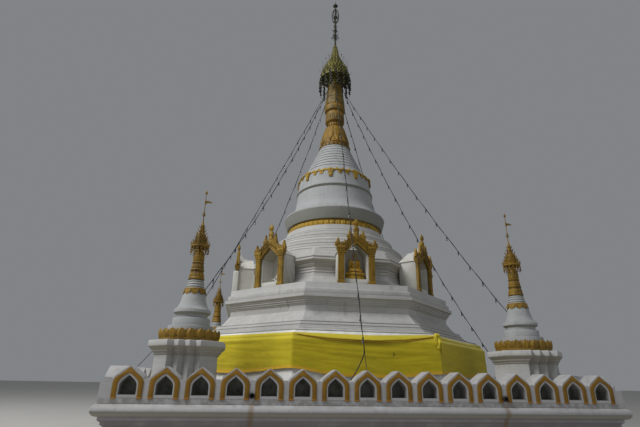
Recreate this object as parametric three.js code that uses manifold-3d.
// White stupa on a square terrace, with eight shrines, four corner stupas and a parapet of gabled niches.
// Units are millimetres, +Z is up, the axis of the great bell is the Z axis and the front faces -Y.

import * as THREE from 'three';
import { mergeVertices } from 'three/addons/utils/BufferGeometryUtils.js';
import Module from 'manifold-3d';

const wasm = await Module();
wasm.setup();

// Driving dimensions of the terrace and parapet
const BAY = 700;
const BAYS = 16;
const CORNER_POST = 180;
const HALF = (BAY * BAYS) / 2 + CORNER_POST;
const COPING_BOTTOM = 880;
const DECK = 1120;
const COPING_REACH = 95;
const PARAPET_DEPTH = 430;
const NICHE_DEPTH = 300;
const NICHE_SILL = 1280;
const RIDGE = 1830;
const POST_TOP = 1500;

// Driving dimensions of the octagonal body, as radii to its corners
const DRUM_RADIUS = 4910;
const DRUM_TOP = 2800;
const CLOTH_BOTTOM = 1780;
const CLOTH_THICKNESS = 30;
const CORNICE_RADIUS = 4040;
const CORNICE_TOP = 3870;
const SHRINE_FLOOR = 4200;
const UPPER_RADIUS = 3000;
const UPPER_TOP = 5450;

// Driving dimensions of the round body and the spire, as heights above the ground
const TIERS_TOP = 6600;
const BELL_BOTTOM = 6850;
const BELL_TOP = 9100;
const CONE_TOP = 10430;
const LOTUS_TOP = 12500;
const BUD_TOP = 13560;
const CROWN_TOP = 15800;
const PINNACLE_TOP = 18480;

// Driving dimensions of the shrines, corner stupas and light strings
const SHRINES = 8;
const SHRINE_FRONT = 3440;
const SHRINE_BACK = 2870;
const SHRINE_HALF = 500;
const FRAME_DEPTH = 120;
const EAVES = 5190;
const SHRINE_RIDGE = 5530;
const CELL_FLOOR = 4360;
const CELL_HALF = 330;
const CELL_BACK = 2950;
const CORNER_AXIS = 4350;
const PEDESTAL_TOP = 2430;
const CORNER_BELL_TOP = 3900;
const CORNER_COLUMN_TOP = 4800;
const VANE_HEIGHT = 6030;
const STRING_RADIUS = 8;
const STRING_COLLAR = 350;
const STRING_TOP = 13300;

// Pieces that meet keep this gap
const SEAT = 0.3;

// Numbers of facets round the axis
const ROUND = 24;
const SLENDER = 12;
const FINE = 8;
const OCTAGON = 8;
const SQUARE = 4;

// Finishes
const LIMEWASH = new THREE.MeshStandardMaterial({ color: 0xd9dad8, roughness: 0.85 });
const OCHRE_GOLD = new THREE.MeshStandardMaterial({ color: 0xa9802a, roughness: 0.5, metalness: 0.3 });
const BRIGHT_GOLD = new THREE.MeshStandardMaterial({ color: 0xc79a2e, roughness: 0.35, metalness: 0.6 });
const AGED_GILT = new THREE.MeshStandardMaterial({ color: 0x6f6a2c, roughness: 0.5, metalness: 0.5 });
const YELLOW_CLOTH = new THREE.MeshStandardMaterial({ color: 0xd9bd16, roughness: 0.9 });
const BLACK_CABLE = new THREE.MeshStandardMaterial({ color: 0x1c1f24, roughness: 0.6 });

const model = new THREE.Group();

// Adds one named mesh to the model, turned about the Z axis and then moved
function place(name, geometry, material, turn = 0, x = 0, y = 0) {
  const mesh = new THREE.Mesh(geometry, material);
  mesh.name = name;
  mesh.rotation.z = turn;
  mesh.position.set(x, y, 0);
  model.add(mesh);
  return mesh;
}

// Six times the signed volume under a geometry's triangles
function signedVolume(position, index) {
  const a = new THREE.Vector3();
  const b = new THREE.Vector3();
  const c = new THREE.Vector3();
  let volume = 0;
  for (let i = 0; i < index.length; i += 3) {
    a.fromBufferAttribute(position, index[i]);
    b.fromBufferAttribute(position, index[i + 1]);
    c.fromBufferAttribute(position, index[i + 2]);
    volume += a.dot(b.cross(c));
  }
  return volume;
}

// Merges shared vertices, drops empty triangles and turns the faces outwards
function weld(geometry) {
  geometry.deleteAttribute('normal');
  geometry.deleteAttribute('uv');
  const merged = mergeVertices(geometry, 1e-3);
  const kept = [];
  for (let i = 0; i < merged.index.count; i += 3) {
    const a = merged.index.getX(i);
    const b = merged.index.getX(i + 1);
    const c = merged.index.getX(i + 2);
    if (a !== b && b !== c && c !== a) {
      kept.push(a, b, c);
    }
  }
  if (signedVolume(merged.attributes.position, kept) < 0) {
    for (let i = 0; i < kept.length; i += 3) {
      [kept[i], kept[i + 1]] = [kept[i + 1], kept[i]];
    }
  }
  merged.setIndex(kept);
  return merged;
}

// Turns a profile of [radius, height] pairs about the Z axis.
// A closed profile is a ring's own section and leaves the axis free.
function turned(profile, facets, closed = false) {
  const points = profile.map(([radius, height]) => new THREE.Vector2(radius, height));
  if (closed) {
    points.push(points[0].clone());
  } else {
    points.unshift(new THREE.Vector2(0, points[0].y));
    points.push(new THREE.Vector2(0, points[points.length - 1].y));
  }
  const start = Math.PI / facets;
  const geometry = new THREE.LatheGeometry(points, facets, start, 2 * Math.PI);
  geometry.rotateX(Math.PI / 2);
  return weld(geometry);
}

// Extrudes an upright outline of [x, z] pairs from y = front to y = back
function upright(outline, front, back) {
  const shape = new THREE.Shape(outline.map(([x, z]) => new THREE.Vector2(x, z)));
  const geometry = new THREE.ExtrudeGeometry(shape, { depth: back - front, bevelEnabled: false });
  geometry.rotateX(Math.PI / 2);
  geometry.translate(0, back, 0);
  return weld(geometry);
}

// Extrudes a plan of [x, y] pairs from z = bottom to z = top
function levelled(plan, bottom, top) {
  const shape = new THREE.Shape(plan.map(([x, y]) => new THREE.Vector2(x, y)));
  const geometry = new THREE.ExtrudeGeometry(shape, { depth: top - bottom, bevelEnabled: false });
  geometry.translate(0, 0, bottom);
  return weld(geometry);
}

// Lofts plans with the same number of corners through the given heights
function courses(plans, heights) {
  const corners = plans[0].length;
  const position = [];
  const index = [];
  plans.forEach((plan, level) => {
    plan.forEach(([x, y]) => position.push(x, y, heights[level]));
  });
  for (let level = 0; level + 1 < plans.length; level += 1) {
    for (let corner = 0; corner < corners; corner += 1) {
      const next = (corner + 1) % corners;
      const a = level * corners + corner;
      const b = level * corners + next;
      index.push(a, b, b + corners, a, b + corners, a + corners);
    }
  }
  const top = (plans.length - 1) * corners;
  const flat = (plan) => plan.map(([x, y]) => new THREE.Vector2(x, y));
  THREE.ShapeUtils.triangulateShape(flat(plans[0]), []).forEach(([a, b, c]) => index.push(c, b, a));
  THREE.ShapeUtils.triangulateShape(flat(plans[plans.length - 1]), []).forEach(([a, b, c]) => {
    index.push(top + a, top + b, top + c);
  });
  const geometry = new THREE.BufferGeometry();
  geometry.setAttribute('position', new THREE.Float32BufferAttribute(position, 3));
  geometry.setIndex(index);
  return weld(geometry);
}

// A welded geometry as a solid for cutting and joining
function solid(geometry) {
  return new wasm.Manifold(new wasm.Mesh({
    numProp: 3,
    vertProperties: new Float32Array(geometry.attributes.position.array),
    triVerts: new Uint32Array(geometry.index.array),
  }));
}

// A solid back as a geometry
function surface(body) {
  const mesh = body.getMesh();
  const geometry = new THREE.BufferGeometry();
  geometry.setAttribute('position', new THREE.Float32BufferAttribute(mesh.vertProperties, 3));
  geometry.setIndex(Array.from(mesh.triVerts));
  return geometry;
}

// A box between two corners
function block([x0, y0, z0], [x1, y1, z1]) {
  return levelled([[x0, y0], [x1, y0], [x1, y1], [x0, y1]], z0, z1);
}

// Mirrors the right half of an outline of [x, z] pairs and joins both halves
function mirrored(half) {
  const left = half.filter(([x]) => x > 0).map(([x, z]) => [-x, z]).reverse();
  return [...half, ...left];
}

// Half sizes of a square as the radii of its corners
const cornerRadius = (half) => half * Math.SQRT2;
const squareProfile = (profile) => profile.map(([half, height]) => [cornerRadius(half), height]);

// Terrace: a foot, a dado and stepped bands under a heavy half-round coping
const terraceProfile = [
  [HALF + 80, 0],
  [HALF + 80, 120],
  [HALF + 10, 180],
  [HALF - 70, 210],
  [HALF - 70, 250],
  [HALF - 200, 290],
  [HALF - 200, 580],
  [HALF - 145, 620],
  [HALF - 145, 700],
  [HALF - 95, 720],
  [HALF - 95, 785],
  [HALF - 45, 805],
  [HALF - 45, COPING_BOTTOM - SEAT],
];
place('terrace_base', turned(squareProfile(terraceProfile), SQUARE), LIMEWASH);

const copingRise = (DECK - COPING_BOTTOM) / 2;
const copingProfile = [-90, -50, -20, 20, 50, 90].map((degrees) => {
  const angle = THREE.MathUtils.degToRad(degrees);
  const reach = HALF + COPING_REACH - copingRise * (1 - Math.cos(angle));
  return [reach, COPING_BOTTOM + copingRise * (1 + Math.sin(angle))];
});
place('terrace_coping', turned(squareProfile(copingProfile), SQUARE), LIMEWASH);

// Parapet: sixteen gabled bays a side, each with a pointed niche, mitred at the corners.
// The end of the last bay drops to the corner post within a millimetre.
const POST_STEP = 1;
const GABLE = [[0, RIDGE], [165, 1722], [290, 1570], [BAY / 2, 1600]];
const NICHE = [[0, 1652], [122, 1552], [168, 1446], [168, NICHE_SILL]];
const bayCentres = Array.from({ length: BAYS }, (_, bay) => (bay - (BAYS - 1) / 2) * BAY);

function parapetOutline() {
  const foot = DECK + SEAT;
  const crest = [];
  for (const centre of bayCentres) {
    const rising = GABLE.slice(1).reverse().map(([x, z]) => [centre - x, z]);
    const falling = GABLE.slice(0, -1).map(([x, z]) => [centre + x, z]);
    crest.push(...rising, ...falling);
  }
  const post = HALF - CORNER_POST + POST_STEP;
  return [[HALF, foot], [HALF, POST_TOP], [post, POST_TOP], ...crest.reverse(),
    [-post, POST_TOP], [-HALF, POST_TOP], [-HALF, foot]];
}

function parapet() {
  const inner = HALF - PARAPET_DEPTH;
  const mitre = [
    [-HALF + SEAT, -HALF],
    [HALF - SEAT, -HALF],
    [inner - SEAT, -inner],
    [-inner + SEAT, -inner],
  ];
  let wall = solid(upright(parapetOutline(), -HALF, -inner));
  wall = wall.intersect(solid(levelled(mitre, DECK, RIDGE + BAY)));
  for (const centre of bayCentres) {
    const opening = mirrored(NICHE).map(([x, z]) => [centre + x, z]);
    wall = wall.subtract(solid(upright(opening, -HALF - 1, -HALF + NICHE_DEPTH)));
  }
  return surface(wall);
}

const parapetWall = parapet();
['parapet_front', 'parapet_right', 'parapet_back', 'parapet_left'].forEach((name, side) => {
  place(name, parapetWall.clone(), LIMEWASH, (side * Math.PI) / 2);
});

// Octagonal drum with the cloth wound round it
const shoulder = [[DRUM_RADIUS, 2560], [4720, DRUM_TOP - SEAT]];
place('octagon_drum', turned([
  [5060, DECK + SEAT],
  [5060, 1300],
  [4970, 1380],
  [DRUM_RADIUS, 1460],
  ...shoulder,
], OCTAGON), LIMEWASH);

const clothGap = SEAT * 2;
place('cloth_wrap', turned([
  [DRUM_RADIUS + clothGap, CLOTH_BOTTOM],
  [DRUM_RADIUS + clothGap + CLOTH_THICKNESS, CLOTH_BOTTOM],
  [DRUM_RADIUS + clothGap + CLOTH_THICKNESS, 2580],
  [4808, 2740],
  [4784, 2720 + clothGap],
  [DRUM_RADIUS + clothGap, 2560 + clothGap],
], OCTAGON, true), YELLOW_CLOTH);

// Octagonal base: a step, a long slope, a waist with a bay on each face and a stepped cornice
const WAIST_RADIUS = 3840;
const BAY_HALF = 870;
const BAY_REACH = 60;
const apothem = (radius) => radius * Math.cos(Math.PI / OCTAGON);

function octagonBase() {
  let body = solid(turned([
    [4740, DRUM_TOP],
    [4420, 2870],
    [4270, 2950],
    [4230, 3080],
    [4090, 3110],
    [3870, 3390],
    [WAIST_RADIUS, 3400],
    [WAIST_RADIUS, 3560],
    [3900, 3580],
    [3900, 3640],
    [3965, 3665],
    [3965, 3740],
    [CORNICE_RADIUS, 3775],
    [CORNICE_RADIUS, CORNICE_TOP],
  ], OCTAGON));
  const face = apothem(WAIST_RADIUS);
  const bay = solid(block([-BAY_HALF, -face - BAY_REACH, 3330], [BAY_HALF, -face + BAY_REACH, 3700]));
  for (let side = 0; side < OCTAGON; side += 1) {
    body = body.add(bay.rotate([0, 0, side * (360 / OCTAGON)]));
  }
  return surface(body);
}

place('octagon_base', octagonBase(), LIMEWASH);

place('shrine_platform', turned([
  [3960, CORNICE_TOP + SEAT],
  [3960, 4020],
  [3880, 4035],
  [3880, SHRINE_FLOOR - SEAT],
], OCTAGON), LIMEWASH);

// Upper octagon between the shrines, and the round tiers above it
const upperProfile = [
  [3300, SHRINE_FLOOR],
  [3250, 4300],
  [3107, 4465],
  [UPPER_RADIUS, 4560],
  [UPPER_RADIUS, 4880],
  [3050, 4905],
  [3050, 4960],
  [3165, 5040],
  [3165, 5170],
  [2990, 5230],
  [2960, 5420],
  [2930, UPPER_TOP - SEAT],
];
place('upper_octagon', turned(upperProfile, OCTAGON), LIMEWASH);

place('round_tiers', turned([
  [2640, UPPER_TOP],
  [2520, 5640],
  [2490, 5810],
  [2260, 5930],
  [2180, 6060],
  [2150, 6230],
  [1920, 6340],
  [1820, 6430],
  [1800, TIERS_TOP - SEAT],
], ROUND), LIMEWASH);

place('bell_lotus_band', turned([
  [1740, TIERS_TOP],
  [1770, 6650],
  [1745, 6780],
  [1700, BELL_BOTTOM - SEAT],
], ROUND), BRIGHT_GOLD);

// Great bell: a turned-under lip, a steep wall with two rings, and a shoulder
const GARLAND_FOOT = [1385, 8600];
const GARLAND_HEAD = [1345, 8960];
place('bell', turned([
  [1780, BELL_BOTTOM],
  [1895, 7180],
  [1890, 7260],
  [1640, 7440],
  [1500, 7700],
  [1450, 8220],
  [1475, 8250],
  [1475, 8310],
  [1440, 8330],
  [1400, 8600],
  GARLAND_FOOT,
  GARLAND_HEAD,
  [1170, BELL_TOP - SEAT],
], ROUND), LIMEWASH);

// The band follows the bell's wall between its own bottom and top
const GARLAND_BOTTOM = 8720;
const GARLAND_TOP = 8900;
const GARLAND_THICKNESS = 22;
function garlandInner(height) {
  const rise = (height - GARLAND_FOOT[1]) / (GARLAND_HEAD[1] - GARLAND_FOOT[1]);
  return THREE.MathUtils.lerp(GARLAND_FOOT[0], GARLAND_HEAD[0], rise) + SEAT * 2;
}
place('bell_garland', turned([
  [garlandInner(GARLAND_BOTTOM), GARLAND_BOTTOM],
  [garlandInner(GARLAND_BOTTOM) + GARLAND_THICKNESS, GARLAND_BOTTOM],
  [garlandInner(GARLAND_TOP) + GARLAND_THICKNESS, GARLAND_TOP],
  [garlandInner(GARLAND_TOP), GARLAND_TOP],
], ROUND, true), BRIGHT_GOLD);

// Ringed cone: each ring stands out from a tapering core
const CONE_RINGS = 9;
const RING_TAPER = 25;
const RING_GROOVE = 0.2;
function coneProfile() {
  const foot = 1160;
  const head = 560;
  const rise = (CONE_TOP - SEAT - BELL_TOP) / CONE_RINGS;
  const profile = [];
  for (let ring = 0; ring < CONE_RINGS; ring += 1) {
    const radius = THREE.MathUtils.lerp(foot, head, ring / CONE_RINGS);
    const groove = ring > 0 ? RING_GROOVE * rise : 0;
    profile.push([radius, BELL_TOP + ring * rise + groove]);
    profile.push([radius - RING_TAPER, BELL_TOP + (ring + 1) * rise]);
  }
  return profile;
}
place('ringed_cone', turned(coneProfile(), ROUND), LIMEWASH);

// Gilt spire: a base ring, two lotus flares with a bead between them, and a smooth bud
place('spire_lotus', turned([
  [560, CONE_TOP],
  [605, 10480],
  [605, 10660],
  [550, 10700],
  [490, 10960],
  [385, 11300],
  [355, 11480],
  [305, 11560],
  [305, 11700],
  [340, 11740],
  [385, 11790],
  [400, 12080],
  [430, 12290],
  [430, 12480],
  [405, LOTUS_TOP - SEAT],
], SLENDER), BRIGHT_GOLD);

place('spire_bud', turned([
  [400, LOTUS_TOP],
  [415, 12540],
  [390, 12870],
  [342, STRING_TOP - 30],
  [STRING_COLLAR, STRING_TOP - 20],
  [STRING_COLLAR, STRING_TOP + 20],
  [337, STRING_TOP + 30],
  [300, BUD_TOP - SEAT],
], SLENDER), BRIGHT_GOLD);

// Tiered crown and the pinnacle on it
place('crown', turned([
  [290, BUD_TOP],
  [290, 13670],
  [600, 13710],
  [690, 13740],
  [690, 13800],
  [655, 13840],
  [645, 14000],
  [575, 14080],
  [560, 14300],
  [525, 14440],
  [400, 14640],
  [325, 14780],
  [280, 14930],
  [220, 15080],
  [195, 15320],
  [140, 15560],
  [60, CROWN_TOP - SEAT],
], SLENDER), AGED_GILT);

place('pinnacle', turned([
  [60, CROWN_TOP],
  [40, 16150],
  [90, 16230],
  [90, 16290],
  [36, 16340],
  [36, 16700],
  [75, 16740],
  [75, 16790],
  [32, 16830],
  [30, 17130],
  [100, 17200],
  [160, 17330],
  [175, 17500],
  [165, 17650],
  [115, 17800],
  [25, 17950],
  [20, 18080],
  [80, 18130],
  [75, 18170],
  [18, 18250],
  [8, PINNACLE_TOP],
], FINE), AGED_GILT);

// Shrines: a vaulted cell with a hipped roof, whose gable leans against a gilt frame
const VAULT = [[0, 5440], [190, 5310], [CELL_HALF, 5090], [CELL_HALF, CELL_FLOOR]];

function roof() {
  const eave = SHRINE_HALF + 30;
  const hip = SHRINE_BACK + 180;
  const corners = [
    [-eave, -SHRINE_FRONT, EAVES],
    [eave, -SHRINE_FRONT, EAVES],
    [eave, -SHRINE_BACK, EAVES],
    [-eave, -SHRINE_BACK, EAVES],
    [0, -SHRINE_FRONT, SHRINE_RIDGE],
    [0, -hip, SHRINE_RIDGE],
  ];
  const faces = [[0, 1, 4], [1, 2, 5], [1, 5, 4], [2, 3, 5], [3, 0, 4], [3, 4, 5], [0, 2, 1], [0, 3, 2]];
  const geometry = new THREE.BufferGeometry();
  geometry.setAttribute('position', new THREE.Float32BufferAttribute(corners.flat(), 3));
  geometry.setIndex(faces.flat());
  return solid(weld(geometry));
}

// The buttress sweeps from the roof's ridge up to the back of the frame's finial
function buttress() {
  const half = 55;
  const sweep = [
    [SHRINE_FRONT, 5400],
    [SHRINE_FRONT, 5760],
    [3405, 5660],
    [3350, 5590],
    [3260, 5545],
    [3150, SHRINE_RIDGE],
    [3150, 5400],
  ];
  const geometry = upright(sweep, -half, half);
  geometry.rotateZ(-Math.PI / 2);
  return solid(geometry);
}

function shrineCell() {
  const walls = block([-SHRINE_HALF, -SHRINE_FRONT, SHRINE_FLOOR], [SHRINE_HALF, -SHRINE_BACK, EAVES]);
  const grown = upperProfile.map(([radius, height]) => [radius + SEAT * 2, height]);
  grown.unshift([grown[0][0], SHRINE_FLOOR - BAY]);
  grown.push([grown[grown.length - 1][0], UPPER_TOP + BAY]);
  const cell = upright(mirrored(VAULT), -SHRINE_FRONT - 1, -CELL_BACK);
  return surface(solid(walls)
    .add(roof())
    .add(buttress())
    .subtract(solid(cell))
    .subtract(solid(turned(grown, OCTAGON))));
}

// Gilt frame: two pillars on the step, brackets, corner flames and a flamed arch with a tall finial
const FRAME_OUTER = [
  [560, SHRINE_FLOOR],
  [560, 4290],
  [545, 4310],
  [545, 5050],
  [595, 5090],
  [605, 5200],
  [640, 5260],
  [640, 5320],
  [600, 5420],
  [560, 5575],
  [500, 5480],
  [425, 5385],
  [350, 5420],
  [280, 5510],
  [205, 5840],
  [145, 5540],
  [105, 5590],
  [105, 5740],
  [80, 5770],
  [85, 5930],
  [65, 5975],
  [88, 6040],
  [88, 6120],
  [0, 6200],
];
const FRAME_INNER = [
  [0, 5485],
  [60, 5400],
  [120, 5320],
  [210, 5240],
  [300, 5135],
  [350, 5060],
  [350, SHRINE_FLOOR],
];

function shrineFrame() {
  const outline = [...FRAME_OUTER, ...FRAME_INNER];
  const left = outline.filter(([x]) => x > 0).map(([x, z]) => [-x, z]);
  const outerLeft = left.slice(0, FRAME_OUTER.length - 1).reverse();
  const innerLeft = left.slice(FRAME_OUTER.length - 1).reverse();
  const ring = [...FRAME_OUTER, ...outerLeft, ...innerLeft, ...FRAME_INNER];
  const back = -SHRINE_FRONT - SEAT;
  return upright(ring, back - FRAME_DEPTH, back);
}

const SIDES = ['front', 'front_right', 'right', 'back_right', 'back', 'back_left', 'left', 'front_left'];
const cellShape = shrineCell();
const frameShape = shrineFrame();
SIDES.forEach((side, turn) => {
  place(`shrine_${side}`, cellShape.clone(), LIMEWASH, (turn * 2 * Math.PI) / SHRINES);
  place(`shrine_frame_${side}`, frameShape.clone(), OCHRE_GOLD, (turn * 2 * Math.PI) / SHRINES);
});

// Lotus seat and seated figure in the front shrine. The seat is as wide as the cell and less deep.
const SEAT_HALF = 310;
const SEAT_DEPTH_RATIO = 0.62;
const SEAT_TOP = 4570;
const FIGURE_Y = -3240;
const FIGURE_SCALE = 1.12;
const FIGURE_SLIMNESS = 0.92;

const lotusSeat = turned([
  [300, CELL_FLOOR + SEAT],
  [SEAT_HALF, CELL_FLOOR + 20],
  [SEAT_HALF, CELL_FLOOR + 80],
  [265, CELL_FLOOR + 100],
  [265, CELL_FLOOR + 115],
  [SEAT_HALF, CELL_FLOOR + 140],
  [SEAT_HALF, CELL_FLOOR + 190],
  [285, SEAT_TOP - SEAT],
], SLENDER);
lotusSeat.scale(1, SEAT_DEPTH_RATIO, 1);
place('lotus_seat', lotusSeat, BRIGHT_GOLD, 0, 0, FIGURE_Y);

// An ellipsoid with the given centre and half sizes
function pebble(centre, half, tilt = 0) {
  const geometry = new THREE.SphereGeometry(1, 8, 6);
  geometry.scale(...half);
  geometry.rotateY(tilt);
  geometry.translate(...centre);
  return solid(weld(geometry));
}

function seatedFigure() {
  const cut = block([-BAY, -BAY, -BAY], [BAY, BAY, SEAT / FIGURE_SCALE]);
  const figure = pebble([0, -20, 40], [205, 120, 62])
    .add(pebble([0, 20, 190], [95, 62, 170]))
    .add(pebble([0, 10, 285], [128, 58, 55]))
    .add(pebble([-118, 0, 190], [34, 40, 120], 0.12))
    .add(pebble([118, 0, 190], [34, 40, 120], -0.12))
    .add(pebble([0, -70, 100], [105, 45, 30]))
    .add(pebble([0, 12, 345], [38, 38, 50]))
    .add(pebble([0, 5, 425], [58, 64, 76]))
    .add(pebble([0, 15, 500], [36, 38, 34]))
    .add(pebble([0, 15, 540], [13, 13, 38]))
    .subtract(solid(cut));
  const grown = figure.scale([FIGURE_SCALE * FIGURE_SLIMNESS, FIGURE_SCALE, FIGURE_SCALE]);
  return surface(grown.translate([0, 0, SEAT_TOP]));
}
place('seated_figure', seatedFigure(), BRIGHT_GOLD, 0, 0, FIGURE_Y);

// Corner stupas: a square pedestal with three notches a corner, its flat faces on the diagonals
const NOTCHES = 3;
const NOTCH = 170;

function notchedPlan(face) {
  const plan = [];
  for (let quarter = 0; quarter < SQUARE; quarter += 1) {
    const turn = Math.PI / SQUARE + (quarter * Math.PI) / 2;
    const side = face - NOTCHES * NOTCH;
    const corners = [[face, side]];
    for (let notch = 1; notch <= NOTCHES; notch += 1) {
      corners.push([face - notch * NOTCH, side + (notch - 1) * NOTCH]);
      corners.push([face - notch * NOTCH, side + notch * NOTCH]);
    }
    corners.forEach(([x, y]) => {
      const across = x * Math.cos(turn) - y * Math.sin(turn);
      plan.push([across, x * Math.sin(turn) + y * Math.cos(turn)]);
    });
  }
  return plan;
}

const pedestalLevels = [
  [860, DECK + SEAT],
  [860, 1260],
  [760, 1340],
  [735, 2120],
  [790, 2170],
  [860, 2290],
  [860, PEDESTAL_TOP],
];
const pedestalPlans = pedestalLevels.map(([face]) => notchedPlan(face));
const pedestalHeights = pedestalLevels.map(([, height]) => height);
const pedestal = courses(pedestalPlans, pedestalHeights);

const cornerBell = turned([
  [700, PEDESTAL_TOP - 20],
  [725, 2520],
  [695, 2670],
  [530, 2680],
  [525, 2770],
  [450, 2785],
  [440, 2955],
  [375, 2970],
  [375, 3040],
  [425, 3075],
  [437, 3165],
  [335, 3280],
  [285, 3480],
  [215, 3680],
  [180, CORNER_BELL_TOP - SEAT],
], SLENDER);
const cornerStupa = surface(solid(pedestal).add(solid(cornerBell)));

const cornerSpire = turned([
  [180, CORNER_BELL_TOP],
  [190, 3960],
  [150, 4130],
  [165, 4170],
  [125, 4330],
  [140, 4500],
  [90, 4700],
  [85, 4730],
  [225, 4745],
  [235, CORNER_COLUMN_TOP],
  [175, 4860],
  [150, 4980],
  [115, 5090],
  [70, 5180],
  [30, 5430],
  [14, 5500],
  [12, 5690],
  [30, 5720],
  [12, 5750],
  [9, VANE_HEIGHT - 62],
  [20, VANE_HEIGHT - 60],
  [20, VANE_HEIGHT - 52],
  [9, VANE_HEIGHT - 50],
  [9, 6240],
  [34, 6300],
  [9, 6370],
], FINE);

// Vane: a sleeve on the rod with a pennant
const SLEEVE_BORE = 12;
const SLEEVE_RADIUS = 19;
const SLEEVE_LENGTH = 100;
const PENNANT_REACH = 190;
const PENNANT_HALF_THICKNESS = 3;

function vane() {
  const bottom = VANE_HEIGHT - SLEEVE_LENGTH / 2 + SEAT;
  const top = bottom + SLEEVE_LENGTH;
  const sleeve = turned([
    [SLEEVE_BORE, bottom],
    [SLEEVE_RADIUS, bottom],
    [SLEEVE_RADIUS, top],
    [SLEEVE_BORE, top],
  ], FINE, true);
  const root = (SLEEVE_BORE + SLEEVE_RADIUS) / 2;
  const outline = [
    [root, bottom + 10],
    [PENNANT_REACH / 2, bottom + 40],
    [PENNANT_REACH, top - 8],
    [root, top - 8],
  ];
  const pennant = upright(outline, -PENNANT_HALF_THICKNESS, PENNANT_HALF_THICKNESS);
  return surface(solid(sleeve).add(solid(pennant)));
}
const vaneShape = vane();

const CORNERS = [['front_left', -1, -1], ['front_right', 1, -1], ['back_right', 1, 1], ['back_left', -1, 1]];
CORNERS.forEach(([corner, x, y]) => {
  place(`corner_stupa_${corner}`, cornerStupa.clone(), LIMEWASH, 0, x * CORNER_AXIS, y * CORNER_AXIS);
  place(`corner_spire_${corner}`, cornerSpire.clone(), BRIGHT_GOLD, 0, x * CORNER_AXIS, y * CORNER_AXIS);
  place(`vane_${corner}`, vaneShape.clone(), BRIGHT_GOLD, 0, x * CORNER_AXIS, y * CORNER_AXIS);
});

// Light strings: each hangs from the collar on the bud to the ridge of one parapet gable
const STRING_POINTS = 13;
const STRING_FOOT = HALF - 60;
const STRINGS = [
  ['front', -BAY / 2, -STRING_FOOT, 150],
  ['front_right', STRING_FOOT, -5.5 * BAY, 450],
  ['right', STRING_FOOT, -1.5 * BAY, 800],
  ['back_right', STRING_FOOT, 6.5 * BAY, 1000],
  ['back', BAY / 2, STRING_FOOT, 150],
  ['back_left', -6.5 * BAY, STRING_FOOT, 800],
  ['left', -STRING_FOOT, BAY / 2, 150],
  ['front_left', -STRING_FOOT, -4.5 * BAY, 1000],
];

// Radius of the faceted collar in the direction of a bearing
function collarRadius(bearing) {
  const facet = (2 * Math.PI) / SLENDER;
  const turn = (bearing + Math.PI / 2) / facet;
  return (STRING_COLLAR * Math.cos(facet / 2)) / Math.cos((turn - Math.round(turn)) * facet);
}

function stringRoute(footX, footY, sag) {
  const bearing = Math.atan2(footY, footX);
  const reach = Math.hypot(footX, footY) - STRING_COLLAR;
  const headSlope = Math.atan2(STRING_TOP - RIDGE + 4 * sag, reach);
  const footSlope = Math.atan2(STRING_TOP - RIDGE - 4 * sag, reach);
  const head = collarRadius(bearing) + SEAT + STRING_RADIUS * Math.sin(headSlope);
  const start = new THREE.Vector3(head * Math.cos(bearing), head * Math.sin(bearing), STRING_TOP);
  const foot = new THREE.Vector3(footX, footY, RIDGE + SEAT + STRING_RADIUS * Math.cos(footSlope));
  const points = [];
  for (let step = 0; step < STRING_POINTS; step += 1) {
    const along = step / (STRING_POINTS - 1);
    const point = start.clone().lerp(foot, along);
    point.z -= 4 * sag * along * (1 - along);
    points.push(point);
  }
  return points;
}

function stringTube(points) {
  const section = new THREE.Shape();
  section.absarc(0, 0, STRING_RADIUS, 0, 2 * Math.PI);
  const path = new THREE.CatmullRomCurve3(points);
  const options = { steps: STRING_POINTS - 1, curveSegments: 4, extrudePath: path, bevelEnabled: false };
  return weld(new THREE.ExtrudeGeometry(section, options));
}

STRINGS.forEach(([side, footX, footY, sag]) => {
  place(`light_string_${side}`, stringTube(stringRoute(footX, footY, sag)), BLACK_CABLE);
});

export default model;
